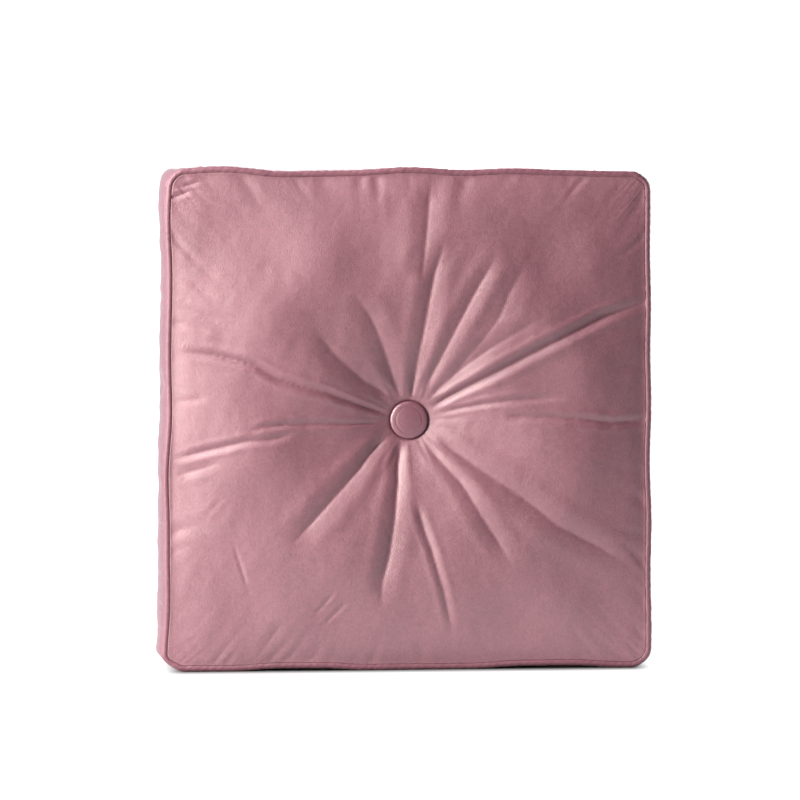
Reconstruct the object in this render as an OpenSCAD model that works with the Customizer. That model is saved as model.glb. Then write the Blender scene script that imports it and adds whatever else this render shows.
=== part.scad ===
// Button-tufted box floor cushion, standing on one of its narrow sides.
// Millimetres. +Z is up, the front face looks along -Y, and the origin is the
// middle of the footprint. Every piece is drawn lying flat, with the front face
// up, and stand() turns the finished piece upright.

/* [Cushion] */
// Width from side to side, over the boxing
cushion_w = 438; // [340:1:600]
// Height as it stands, over the boxing
cushion_h = 450; // [340:1:600]
// Depth of the boxing, between the centres of the two pipings
boxing_d = 72; // [56:1:130]
// How far the flat of each face stands past the edge of its panel
face_rise = 10.4; // [6:0.1:13]
// How high the crown of each face would reach without its flat
crown_rise = 14; // [13.5:0.5:22]
// Radius of the four outer corners
corner_r = 18; // [18:1:60]

/* [Fabric] */
// Thickness of the velvet
velvet_t = 1.2; // [0.8:0.1:2]
// Thickness of the liner's calico
liner_t = 0.6; // [0.3:0.1:1.2]
// Width of the seam allowances inside the cover
seam_allowance = 10; // [6:1:15]
// Space left between layers of cloth
cloth_gap = 0.1; // [0.05:0.05:0.3]

/* [Piping] */
// Diameter of the cord inside the piping
cord_d = 4.2; // [3:0.1:7]

/* [Tuft] */
// Diameter of each covered button
button_d = 34; // [22:1:50]
// Height of each covered button
button_h = 8.5; // [6:0.5:12]
// Depth of the button's seat below the flat of the face
seat_depth = 24; // [10:1:26]
// Radius at which the hollow round the button meets the flat
hollow_r = 92; // [60:1:120]
// Radius of the needle hole through the panels and the filling
needle_r = 4.6; // [4.4:0.1:7]
// Diameter of the tufting twine
twine_d = 1.6; // [1:0.1:2]
// Diameter of the wire in the button shanks
wire_d = 1.4; // [1:0.1:1.6]
// Thickness of the steel in the button caps and backs
button_steel_t = 0.5; // [0.3:0.1:0.8]

/* [Zip] */
// Distance from each end of the side to the zip opening
zip_inset = 40; // [34:1:80]
// Width of the opening between the folded edges
zip_gap = 13; // [12:0.5:18]
// Width of each folded-under edge
zip_fold_w = 9; // [6:0.5:12]
// Width of each half of the tape
tape_w = 14; // [12:0.5:18]
// Thickness of the tape
tape_t = 0.6; // [0.4:0.1:0.8]
// Width of each half of the coil
coil_w = 2.5; // [2:0.1:3]
// Height of the coil above the tape
coil_h = 1.8; // [1.4:0.1:2.4]
// Length of the slider
slider_len = 14; // [11:0.5:18]
// Thickness of the slider's plates
slider_plate_t = 0.9; // [0.7:0.1:1.2]
// Clearance between the slider and what it runs on
slider_clear = 0.3; // [0.2:0.05:0.5]
// Length of the pull from its pin to its end
pull_len = 24; // [16:1:34]

/* [Hidden] */
$fn = 96;

velvet_face_colour = [0.72, 0.50, 0.55];
velvet_trim_colour = [0.74, 0.47, 0.54];
calico_colour = [0.90, 0.87, 0.80];
fibre_colour = [0.96, 0.96, 0.95];
cord_colour = [0.92, 0.90, 0.85];
steel_colour = [0.72, 0.73, 0.75];
zip_colour = [0.66, 0.44, 0.49];

eps = 0.01;
// Larger than the cushion in every direction
beyond = 2 * max(cushion_w, cushion_h);

// Piping
pipe_r = cord_d / 2 + velvet_t;
seam_z = boxing_d / 2;

// Face panels: their outline starts where the piping ends
face_w = cushion_w - 4 * pipe_r;
face_h = cushion_h - 4 * pipe_r;
face_corner_r = corner_r - 2 * pipe_r;
// The seam's layers, outward from its middle: half the piping's flange, the panel's allowance, the panel
flange_z = seam_z + velvet_t;
panel_fold_z = flange_z + velvet_t;
panel_edge_z = panel_fold_z + velvet_t;
flat_z = panel_edge_z + face_rise;
seat_z = flat_z - seat_depth;

// Crown: a wide arc across the width and another across the height
crown_across_r = arc_radius(face_w / 2, crown_rise);
crown_along_r = arc_radius(face_h / 2, crown_rise);

// Hollow round the button: an arc from the seat up to the flat, its centre a little outside the rim
seat_r = button_d / 2 + 2;
hollow_axis_r = hollow_r + 10;
hollow_drop = (pow(hollow_axis_r - seat_r, 2) - pow(hollow_axis_r - hollow_r, 2) + pow(seat_depth, 2))
    / (2 * seat_depth);
hollow_arc_r = norm([hollow_axis_r - hollow_r, hollow_drop]);

// Inner pad: its middle fills the boxing, and its crowns pass inside the seam allowances
pad_w = cushion_w - 2 * (velvet_t + cloth_gap);
pad_h = cushion_h - 2 * (velvet_t + cloth_gap);
pad_corner_r = corner_r - velvet_t - cloth_gap;
pad_waist_z = seam_z - pipe_r - velvet_t - cloth_gap;
allowance_in = 2 * pipe_r + seam_allowance + cloth_gap;

// Zip, on the +X side. Depths are measured inward from the face of the boxing
zip_len = cushion_h - 2 * zip_inset;
tape_depth = 2 * velvet_t + cloth_gap;
tape_tail = 8;
divider_w = 0.8;
divider_clear = 0.2;
tape_edge = divider_w / 2 + divider_clear;
coil_top_depth = tape_depth - coil_h;
slider_top_depth = coil_top_depth - slider_clear;
slider_under_depth = tape_depth + tape_t + slider_clear;
slider_tail_w = 2 * (tape_edge + coil_w + slider_clear + slider_plate_t);
slider_shoulder_w = slider_tail_w + 1.2;
zip_recess_depth = slider_under_depth + slider_plate_t + 1;
stop_len = 2.4;
stop_y = -zip_len / 2 + 2;
// The zip closes towards the bottom, where the slider's nose rests just short of the end stops
slider_nose_y = stop_y + stop_len + slider_clear;
slider_mid_y = slider_nose_y + slider_len / 2;
shoulder_len = 3.4;
// Height of the slider's upper face over the boxing
slider_face = slider_plate_t - slider_top_depth;
divider_len = 3.2;
coil_start_y = stop_y + stop_len + cloth_gap;
coil_end_y = zip_len / 2 - 8;
// The coil's back is an arc a little wider than its base
coil_arc_r = arc_radius(coil_w / 2 + 0.6, coil_h);
// The bail stands on the slider, and the pull's pin runs under it
bail_h = 2.6;
bail_t = 1;
bail_len = 7;
bail_w = 2;
pull_t = 0.9;
pull_w = 6.5;
pin_h = (bail_h - bail_t) / 2;
pin_from_bail = bail_t + pull_t;
fork_t = 0.9;
fork_clear = 0.25;
fork_len = norm([bail_len - pin_from_bail, bail_h]) + 0.8;

// Radius of an arc that rises by rise over half a chord
function arc_radius(half_chord, rise) = (half_chord * half_chord + rise * rise) / (2 * rise);

// Stands a piece up: the front face turns to -Y and the lower side to the floor
module stand() {
    translate([0, 0, cushion_h / 2]) rotate([90, 0, 0]) children();
}

// Turns a front piece over to the back, keeping left and right
module to_back() {
    mirror([0, 0, 1]) children();
}

module rounded_rect(w, h, r) {
    square([w - 2 * r, h], center = true);
    square([w, h - 2 * r], center = true);
    for (x = [-1, 1], y = [-1, 1]) translate([x * (w / 2 - r), y * (h / 2 - r)]) circle(r);
}

module rounded_slab(w, h, r, z0, z1) {
    translate([0, 0, z0]) linear_extrude(z1 - z0) rounded_rect(w, h, r);
}

// A frame of slab between an outline set in by depth_in and one set in by depth_in + wide
module frame_ring(depth_in, wide, z0, z1) {
    difference() {
        rounded_slab(cushion_w - 2 * depth_in, cushion_h - 2 * depth_in, corner_r - depth_in, z0, z1);
        rounded_slab(cushion_w - 2 * (depth_in + wide), cushion_h - 2 * (depth_in + wide),
            corner_r - depth_in - min(wide, corner_r - depth_in - 1), z0 - 1, z1 + 1);
    }
}

// ---- face panels ----

// The hollow that the button pulls into a face, for a surface set in by inset
module hollow_cut(inset) {
    rotate_extrude() difference() {
        translate([0, seat_z - inset]) square([hollow_axis_r, seat_depth + 20]);
        translate([hollow_axis_r, flat_z - hollow_drop]) circle(hollow_arc_r - inset, $fn = 180);
    }
}

// Everything under the surface of the front face, down to the middle of the cushion
module under_face(inset, w, h, r) {
    difference() {
        intersection() {
            rounded_slab(w, h, r, 0, flat_z - inset);
            translate([0, 0, panel_edge_z + crown_rise - crown_across_r]) rotate([90, 0, 0])
                cylinder(r = crown_across_r - inset, h = beyond, center = true, $fn = 240);
            translate([0, 0, panel_edge_z + crown_rise - crown_along_r]) rotate([0, 90, 0])
                cylinder(r = crown_along_r - inset, h = beyond, center = true, $fn = 240);
        }
        hollow_cut(inset);
    }
}

module needle_hole() {
    cylinder(r = needle_r, h = beyond, center = true);
}

module panel() {
    difference() {
        union() {
            difference() {
                under_face(0, face_w, face_h, face_corner_r);
                difference() {
                    under_face(velvet_t, face_w + 2, face_h + 2, face_corner_r + 1);
                    translate([0, 0, beyond / 2 + flat_z]) cube(beyond, center = true);
                }
            }
            frame_ring(2 * pipe_r, velvet_t, flange_z + cloth_gap / 2, panel_edge_z - cloth_gap);
            frame_ring(2 * pipe_r, seam_allowance, flange_z + cloth_gap / 2, panel_fold_z);
        }
        needle_hole();
    }
}

module front_panel() {
    color(velvet_face_colour) stand() panel();
}

module back_panel() {
    color(velvet_face_colour) stand() to_back() panel();
}

// ---- boxing ----

// The boxing all the way round: a wall whose edges turn in under the pipings
module boxing_loop() {
    wall_z = seam_z - pipe_r - cloth_gap / 2;
    frame_ring(0, velvet_t, -wall_z, wall_z);
    for (side = [-1, 1]) front_or_back(side) {
        frame_ring(0, 2 * pipe_r + velvet_t, wall_z - velvet_t, wall_z);
        frame_ring(2 * pipe_r, velvet_t, wall_z - velvet_t, seam_z - velvet_t - cloth_gap / 2);
        frame_ring(2 * pipe_r, seam_allowance, seam_z - 2 * velvet_t, seam_z - velvet_t - cloth_gap / 2);
    }
}

// Leaves a piece in front when side is 1, and mirrors it to the back when side is -1
module front_or_back(side) {
    mirror([0, 0, side < 0 ? 1 : 0]) children();
}

// The part of the right-hand side that holds the zip, made longer by extra at each end
module zip_region(extra) {
    depth = 2 * pipe_r + seam_allowance + 4;
    translate([cushion_w / 2 - depth, -zip_len / 2 - extra, -beyond / 2])
        cube([depth + 1, zip_len + 2 * extra, beyond]);
}

module boxing_strip() {
    color(velvet_trim_colour) stand() difference() {
        boxing_loop();
        zip_region(cloth_gap / 2);
    }
}

// Half of the zip side: a strip with its inner edge folded under
module zip_boxing() {
    intersection() {
        union() {
            difference() {
                boxing_loop();
                translate([0, 0, zip_gap / 2 - beyond / 2]) cube(beyond, center = true);
            }
            translate([cushion_w / 2 - 2 * velvet_t, -zip_len / 2, zip_gap / 2])
                cube([2 * velvet_t - eps, zip_len, velvet_t]);
            translate([cushion_w / 2 - 2 * velvet_t, -zip_len / 2, zip_gap / 2])
                cube([velvet_t - cloth_gap / 2, zip_len, zip_fold_w]);
        }
        zip_region(-cloth_gap / 2);
    }
}

module zip_boxing_front() {
    color(velvet_trim_colour) stand() zip_boxing();
}

module zip_boxing_back() {
    color(velvet_trim_colour) stand() to_back() zip_boxing();
}

// ---- piping ----

// A round section carried once round the cushion's edge
module piping_path() {
    run_r = corner_r - pipe_r;
    x_run = cushion_w / 2 - corner_r;
    y_run = cushion_h / 2 - corner_r;
    for (side = [0, 180]) rotate(side) {
        translate([x_run + run_r, 0, 0]) rotate([90, 0, 0]) linear_extrude(2 * y_run, center = true) children();
        translate([0, y_run + run_r, 0]) rotate([90, 0, 90]) linear_extrude(2 * x_run, center = true) children();
        translate([x_run, y_run, 0]) rotate_extrude(angle = 90) translate([run_r, 0]) children();
        translate([-x_run, y_run, 0]) rotate(90) rotate_extrude(angle = 90) translate([run_r, 0]) children();
    }
}

module piping_cover() {
    grip = velvet_t / 2;
    translate([0, 0, seam_z]) {
        piping_path() difference() {
            circle(pipe_r);
            circle(cord_d / 2);
        }
        frame_ring(2 * pipe_r - grip, seam_allowance + grip, -velvet_t, velvet_t);
    }
}

module piping_cord() {
    translate([0, 0, seam_z]) piping_path() circle(cord_d / 2 - cloth_gap / 2);
}

module front_piping_cover() {
    color(velvet_trim_colour) stand() piping_cover();
}

module back_piping_cover() {
    color(velvet_trim_colour) stand() to_back() piping_cover();
}

module front_piping_cord() {
    color(cord_colour) stand() piping_cord();
}

module back_piping_cord() {
    color(cord_colour) stand() to_back() piping_cord();
}

// ---- liner and filling ----

// Front half of the inner pad, set in by inset, down to the middle of the cushion
module half_pad(inset) {
    difference() {
        union() {
            rounded_slab(pad_w - 2 * inset, pad_h - 2 * inset, pad_corner_r - inset, 0, pad_waist_z - inset);
            under_face(velvet_t + cloth_gap + inset,
                cushion_w - 2 * (allowance_in + inset), cushion_h - 2 * (allowance_in + inset),
                max(corner_r - allowance_in - inset, 4));
        }
        hollow_cut(velvet_t + cloth_gap + inset);
        needle_hole();
        zip_recess(inset);
    }
}

// The space behind the tape that the slider's lower plate runs in
module zip_recess(inset) {
    translate([cushion_w / 2 - zip_recess_depth - inset, -zip_len / 2 - tape_tail - 2 - inset, -beyond / 2])
        cube([beyond, zip_len + 2 * (tape_tail + 2 + inset), beyond / 2 + tape_w + tape_edge + 1 + inset]);
}

module half_liner() {
    difference() {
        half_pad(0);
        difference() {
            half_pad(liner_t);
            translate([0, 0, -beyond / 2 + eps]) cube(beyond, center = true);
        }
        translate([0, 0, -1]) linear_extrude(1 + 2 * eps)
            rounded_rect(pad_w - 2 * liner_t, pad_h - 2 * liner_t, pad_corner_r - liner_t);
    }
}

module liner_front() {
    color(calico_colour) stand() half_liner();
}

module liner_back() {
    color(calico_colour) stand() to_back() half_liner();
}

module fibre_filling() {
    color(fibre_colour) stand() for (side = [-1, 1]) front_or_back(side) half_pad(liner_t + cloth_gap);
}

// ---- covered buttons ----

// Half section of a dome with a rounded rim, r wide at the rim and h high, standing on z = 0
module dome_section(r, h) {
    rim = h * 0.45;
    rise = h - rim;
    crown = arc_radius(r - rim * 0.3, rise);
    intersection() {
        translate([0, h - crown]) circle(crown, $fn = 180);
        union() {
            square([r - rim, h]);
            square([r, rim]);
            translate([r - rim, rim]) circle(rim);
        }
        square([r, h]);
    }
}

// The part of a button between two domes, open underneath
module dome_shell(r, h, t, lift) {
    rotate_extrude() difference() {
        translate([0, lift]) dome_section(r, h);
        translate([0, lift - eps]) dome_section(r - t, h - t);
    }
}

module button_velvet() {
    tuck_in = button_d / 2 - 5;
    translate([0, 0, seat_z]) {
        dome_shell(button_d / 2, button_h - velvet_t, velvet_t, velvet_t);
        difference() {
            cylinder(r = button_d / 2, h = velvet_t + eps);
            translate([0, 0, -1]) cylinder(r = tuck_in, h = velvet_t + 2);
        }
    }
}

module button_cap() {
    r = button_d / 2 - velvet_t - cloth_gap;
    translate([0, 0, seat_z]) dome_shell(r, button_h - 2 * velvet_t - 2 * cloth_gap, button_steel_t,
        velvet_t + cloth_gap);
}

module button_back() {
    r = button_d / 2 - velvet_t - button_steel_t - 3 * cloth_gap;
    translate([0, 0, seat_z + velvet_t + cloth_gap]) difference() {
        union() {
            cylinder(r = r, h = button_steel_t);
            cylinder(r = wire_d * 2.6, h = 3 * button_steel_t);
        }
        for (x = [-1, 1]) translate([x * wire_d * 1.7, 0, -1]) cylinder(d = wire_d + 0.1, h = 4);
    }
}

// A wire staple through the button's back, whose loop the twine passes round
module button_shank() {
    leg_x = wire_d * 1.7;
    head_z = seat_z + velvet_t + cloth_gap + 3 * button_steel_t + 0.2;
    for (x = [-1, 1]) translate([x * leg_x, 0, seat_z - 2.5]) cylinder(d = wire_d, h = head_z - seat_z + 2.5);
    translate([0, 0, seat_z - 2.5]) rotate([90, 0, 0]) rotate([0, 0, 180])
        rotate_extrude(angle = 180) translate([leg_x, 0]) circle(d = wire_d);
    for (x = [-1, 1]) translate([x * leg_x, 0, head_z]) cylinder(d = wire_d * 1.6, h = wire_d * 0.5);
}

module front_button_velvet() {
    color(velvet_trim_colour) stand() button_velvet();
}

module back_button_velvet() {
    color(velvet_trim_colour) stand() to_back() button_velvet();
}

module front_button_cap() {
    color(steel_colour) stand() button_cap();
}

module back_button_cap() {
    color(steel_colour) stand() to_back() button_cap();
}

module front_button_back() {
    color(steel_colour) stand() button_back();
}

module back_button_back() {
    color(steel_colour) stand() to_back() button_back();
}

module front_button_shank() {
    color(steel_colour) stand() button_shank();
}

module back_button_shank() {
    color(steel_colour) stand() to_back() button_shank();
}

// Two strands of twine, joined round the two shanks and knotted by the back button
module tufting_twine() {
    strand_y = (wire_d + twine_d) / 2 + 0.1;
    turn_z = seat_z - 2.5 - wire_d * 1.7;
    color(cord_colour) stand() {
        for (y = [-1, 1]) translate([0, y * strand_y, 0]) cylinder(d = twine_d, h = 2 * turn_z, center = true);
        for (side = [-1, 1]) front_or_back(side) translate([0, 0, turn_z]) rotate([90, 0, 90])
            rotate_extrude(angle = 180) translate([strand_y, 0]) circle(d = twine_d);
        for (wrap = [0:2]) translate([0, 0, -turn_z + 3 + wrap * twine_d * 0.9])
            rotate_extrude() translate([strand_y + twine_d * 0.35, 0]) circle(d = twine_d);
    }
}

// ---- zip ----

// Places a zip piece drawn with x as height above the boxing's face
module on_zip_side() {
    translate([cushion_w / 2, 0, 0]) children();
}

module zip_tape() {
    on_zip_side() translate([-tape_depth - tape_t, -zip_len / 2 - tape_tail, tape_edge])
        cube([tape_t, zip_len + 2 * tape_tail, tape_w]);
}

// One side of the coil: a bar with a rounded back, set on the tape's edge
module zip_coil() {
    on_zip_side() translate([-tape_depth, coil_end_y, tape_edge]) rotate([90, 0, 0])
        linear_extrude(coil_end_y - coil_start_y) intersection() {
            square([coil_h, coil_w]);
            translate([coil_h - coil_arc_r, coil_w / 2]) circle(coil_arc_r);
        }
}

module zip_tape_front() {
    color(zip_colour) stand() zip_tape();
}

module zip_tape_back() {
    color(zip_colour) stand() to_back() zip_tape();
}

module zip_coil_front() {
    color(zip_colour) stand() zip_coil();
}

module zip_coil_back() {
    color(zip_colour) stand() to_back() zip_coil();
}

// Crimped stops at the closed end, one on each tape
module zip_end_stops() {
    color(steel_colour) stand() for (side = [-1, 1]) front_or_back(side) on_zip_side()
        translate([-tape_depth, stop_y, tape_edge]) cube([coil_h, stop_len, coil_w]);
}

// One stop across both tapes at the open end
module zip_open_stop() {
    color(steel_colour) stand() on_zip_side()
        translate([-tape_depth, coil_end_y + cloth_gap, -tape_edge - coil_w])
            cube([coil_h, stop_len, 2 * (tape_edge + coil_w)]);
}

// Outline of a slider plate: y along the zip, wide at the shoulders and narrower at the tail
module slider_outline() {
    shoulder = slider_shoulder_w / 2;
    tail = slider_tail_w / 2;
    polygon([[shoulder_len, -shoulder], [0, 1.6 - shoulder], [0, shoulder - 1.6], [shoulder_len, shoulder],
        [slider_len - 1, tail], [slider_len, tail - 1], [slider_len, 1 - tail], [slider_len - 1, -tail]]);
}

// A slider plate whose lower face is at the given depth below the face of the boxing
module slider_plate(depth) {
    translate([-depth, slider_nose_y, 0]) rotate([90, 0, 90]) linear_extrude(slider_plate_t) slider_outline();
}

module zip_slider() {
    rim_in = tape_edge + coil_w + slider_clear;
    rim_h = coil_h * 0.6;
    color(steel_colour) stand() on_zip_side() {
        slider_plate(slider_top_depth);
        slider_plate(slider_under_depth + slider_plate_t);
        translate([-slider_under_depth - eps, slider_nose_y + 0.4, -divider_w / 2])
            cube([slider_under_depth - slider_top_depth + 2 * eps, divider_len, divider_w]);
        for (side = [-1, 1]) front_or_back(side)
            translate([-slider_top_depth - rim_h, slider_nose_y + shoulder_len, rim_in])
                cube([rim_h + eps, slider_len - shoulder_len - 1, slider_plate_t]);
    }
}

// A low arch on the slider that the pull hangs from
module zip_bail() {
    color(steel_colour) stand() on_zip_side() translate([slider_face, slider_mid_y - bail_len / 2, -bail_w / 2])
        difference() {
            cube([bail_h, bail_len, bail_w]);
            translate([-1, bail_t, -1]) cube([bail_h - bail_t + 1, bail_len - 2 * bail_t, bail_w + 2]);
        }
}

// The pull: a pin through the bail, a fork beside it, and a thumb plate hanging below
module zip_pull() {
    fork_in = bail_w / 2 + fork_clear;
    plate_len = pull_len - fork_len;
    color(steel_colour) stand() on_zip_side()
        translate([slider_face + pin_h, slider_mid_y - bail_len / 2 + pin_from_bail, 0]) {
            cylinder(d = pull_t, h = 2 * (fork_in + fork_t), center = true);
            for (side = [-1, 1]) front_or_back(side)
                translate([-pull_t / 2, -fork_len - 1, fork_in]) cube([pull_t, fork_len + 1, fork_t]);
            difference() {
                translate([-pull_t / 2, -pull_len, -pull_w / 2]) cube([pull_t, plate_len, pull_w]);
                translate([-1, -pull_len + 3.4, 0]) rotate([0, 90, 0]) cylinder(r = 1.6, h = 2);
            }
        }
}

front_panel();
back_panel();
boxing_strip();
zip_boxing_front();
zip_boxing_back();
front_piping_cover();
front_piping_cord();
back_piping_cover();
back_piping_cord();
liner_front();
liner_back();
fibre_filling();
front_button_velvet();
front_button_cap();
front_button_back();
front_button_shank();
back_button_velvet();
back_button_cap();
back_button_back();
back_button_shank();
tufting_twine();
zip_tape_front();
zip_tape_back();
zip_coil_front();
zip_coil_back();
zip_end_stops();
zip_open_stop();
zip_slider();
zip_bail();
zip_pull();
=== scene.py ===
import math

import bmesh
import bpy
import numpy as np
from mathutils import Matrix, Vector


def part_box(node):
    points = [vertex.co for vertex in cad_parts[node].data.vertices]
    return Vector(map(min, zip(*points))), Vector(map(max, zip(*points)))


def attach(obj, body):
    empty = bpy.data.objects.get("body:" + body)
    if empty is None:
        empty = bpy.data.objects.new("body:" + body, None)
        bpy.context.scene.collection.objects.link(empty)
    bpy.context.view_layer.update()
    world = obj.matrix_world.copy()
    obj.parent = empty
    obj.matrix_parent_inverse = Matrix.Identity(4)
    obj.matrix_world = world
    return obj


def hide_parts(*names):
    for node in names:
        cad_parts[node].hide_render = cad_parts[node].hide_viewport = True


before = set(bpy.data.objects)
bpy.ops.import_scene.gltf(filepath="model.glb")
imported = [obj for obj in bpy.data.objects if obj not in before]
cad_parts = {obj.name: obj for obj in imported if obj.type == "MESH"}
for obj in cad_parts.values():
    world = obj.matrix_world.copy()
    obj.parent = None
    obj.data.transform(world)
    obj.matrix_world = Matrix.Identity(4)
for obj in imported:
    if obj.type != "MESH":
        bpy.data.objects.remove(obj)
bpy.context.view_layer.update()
mm = 0.001


# Places and sizes, all taken from the frame.

def boxOf(node):
    low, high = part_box(node)
    return np.array(low), np.array(high)


coverHigh = boxOf("boxing_strip")[1]
panelHigh = boxOf("front_panel")[1]
pipeLow, pipeHigh = boxOf("front_piping_cover")
buttonLow, buttonHigh = boxOf("front_button_velvet")
stripLow, stripHigh = boxOf("zip_boxing_front")
pullLow = boxOf("zip_pull")[0]

halfWide = coverHigh[0]
halfTall = coverHigh[2] / 2
pipeRadius = (pipeHigh[1] - pipeLow[1]) / 2
seamDepth = -(pipeHigh[1] + pipeLow[1]) / 2
panelInset = halfWide - panelHigh[0]
seatDepth = -buttonHigh[1]
pullMiddle = (pullLow[2] + stripLow[2]) / 2      # height of the wall that the zip's pull hangs over
buttonRadius = (buttonHigh[0] - buttonLow[0]) / 2
buttonRise = buttonHigh[1] - buttonLow[1]
panelEdge = seamDepth + 2.7 * mm     # how far forward each face panel is at its seam

cushion = {
    "cornerRadius": 18 * mm,
    "velvetThick": 1.15 * mm,
    "slump": 5 * mm,             # how much wider the foot stands than the head
    "pipingWave": 1.8 * mm,      # how far the piping wanders in and out
    "pipingDrift": 0.8 * mm,     # how far it wanders forward and back
    # where the piping lifts off the floor: x, reach, height in mm
    "floorGaps": [(-98, 44, 2.2), (125, 50, 2.4)],
}


def addPiece(name, points, faces):
    # one mesh from an array of points and one of quads, smooth shaded
    mesh = bpy.data.meshes.new(name)
    points = np.asarray(points, np.float32).reshape(-1, 3)
    faces = np.asarray(faces, np.int32).reshape(-1, 4)
    mesh.vertices.add(len(points))
    mesh.vertices.foreach_set("co", points.ravel())
    mesh.loops.add(faces.size)
    mesh.loops.foreach_set("vertex_index", faces.ravel())
    mesh.polygons.add(len(faces))
    mesh.polygons.foreach_set("loop_start", np.arange(len(faces), dtype=np.int32) * 4)
    mesh.update(calc_edges=True)
    mesh.validate()
    mesh.polygons.foreach_set("use_smooth", np.ones(len(mesh.polygons), bool))
    piece = bpy.data.objects.new(name, mesh)
    bpy.context.scene.collection.objects.link(piece)
    return piece


def gridQuads(rows, columns, loopRows=False, loopColumns=False):
    # corner numbers of each quad of a grid, wrapped round where a side is a loop
    r = np.arange(rows if loopRows else rows - 1)
    c = np.arange(columns if loopColumns else columns - 1)
    r, c = np.meshgrid(r, c, indexing="ij")
    rNext, cNext = (r + 1) % rows, (c + 1) % columns
    near, far = r * columns, rNext * columns
    quads = np.stack([near + c, far + c, far + cNext, near + cNext], -1)
    return quads.reshape(-1, 4)


def closeUp(piece, turnOut=True):
    # welds doubled points, such as a pole's, and turns every face outwards if the piece is closed
    work = bmesh.new()
    work.from_mesh(piece.data)
    bmesh.ops.remove_doubles(work, verts=work.verts, dist=0.001 * mm)
    if turnOut:
        bmesh.ops.recalc_face_normals(work, faces=work.faces)
    work.to_mesh(piece.data)
    work.free()
    piece.data.polygons.foreach_set("use_smooth", np.ones(len(piece.data.polygons), bool))


def thicken(piece, thick):
    # cloth of even thickness, inwards from the modelled face
    solid = piece.modifiers.new("cloth thickness", "SOLIDIFY")
    solid.thickness = thick
    solid.offset = -1
    solid.use_even_offset = False


def place(piece, finish, body, slotName, *nodes):
    piece.data.materials.append(finish)
    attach(piece, body)
    if nodes:
        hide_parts(*nodes)


def ramp(value, low, high):
    # 0 below low, 1 above high, an S-curve between
    t = np.clip((value - low) / (high - low), 0, 1)
    return t * t * (3 - 2 * t)


# The outline seen from the front: half the foot, then corner and side in turn, back to the foot's middle.
straightX = halfWide - cushion["cornerRadius"]
straightZ = halfTall - cushion["cornerRadius"]
quarter = cushion["cornerRadius"] * math.pi / 2
stretches = [0, straightX, quarter, 2 * straightZ, quarter,
             2 * straightX, quarter, 2 * straightZ, quarter, straightX]
outlineMarks = np.cumsum(stretches)
roundIt = outlineMarks[-1]
outlineMarks = outlineMarks / roundIt        # where each stretch ends, as a share of the way round
cornerX = np.array([0, 1, 1, 1, 1, -1, -1, -1, -1, 0]) * straightX
cornerZ = np.array([-1, -1, -1, 1, 1, 1, 1, -1, -1, -1]) * straightZ
facing = np.radians([-90, -90, 0, 0, 90, 90, 180, 180, 270, 270])
cornerMiddles = (outlineMarks[[1, 3, 5, 7]] + outlineMarks[[2, 4, 6, 8]]) / 2


def outline(share):
    # A rounded square as its corner circles' centres plus a radius along the way it faces.
    # share runs from 0 to 1 round it, from the middle of the foot towards the zip's side.
    share = np.mod(share, 1)
    x = np.interp(share, outlineMarks, cornerX)
    z = np.interp(share, outlineMarks, cornerZ)
    turn = np.interp(share, outlineMarks, facing)
    return x, z, np.cos(turn), np.sin(turn)


def waves(share, seed, low, high):
    # a sum of whole-number cosines round the outline, with seeded phases, about 1 at its highest
    chance = np.random.RandomState(seed)
    counts = np.arange(low, high + 1)
    sizes = chance.uniform(0.4, 1, len(counts)) / counts ** 0.5
    phases = chance.uniform(0, 2 * np.pi, len(counts))
    total = sum(a * np.cos(2 * np.pi * k * share + p) for k, a, p in zip(counts, sizes, phases))
    return total / np.sqrt((sizes ** 2).sum() * 2)


def edgeShift(share, side):
    # How far the piping wanders outwards and forwards: slow waves, the slump, and no way through the floor.
    x, z, nx, nz = outline(share)
    out = cushion["pipingWave"] * waves(share, 11 + side, 5, 22)
    out = out - cushion["slump"] * np.abs(nx) * z / (2 * halfTall)
    floor = ramp(-nz, 0.2, 0.9)
    lift = sum(-h * mm * np.exp(-((x - at * mm) / (w * mm)) ** 4) for at, w, h in cushion["floorGaps"])
    out = out * (1 - floor) + lift * floor
    forward = cushion["pipingDrift"] * waves(share, 41 + side, 4, 16)
    zipSide = ramp(nx, 0.6, 0.95)
    return out * (1 - 0.5 * zipSide), forward * (1 - 0.6 * zipSide)


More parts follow.
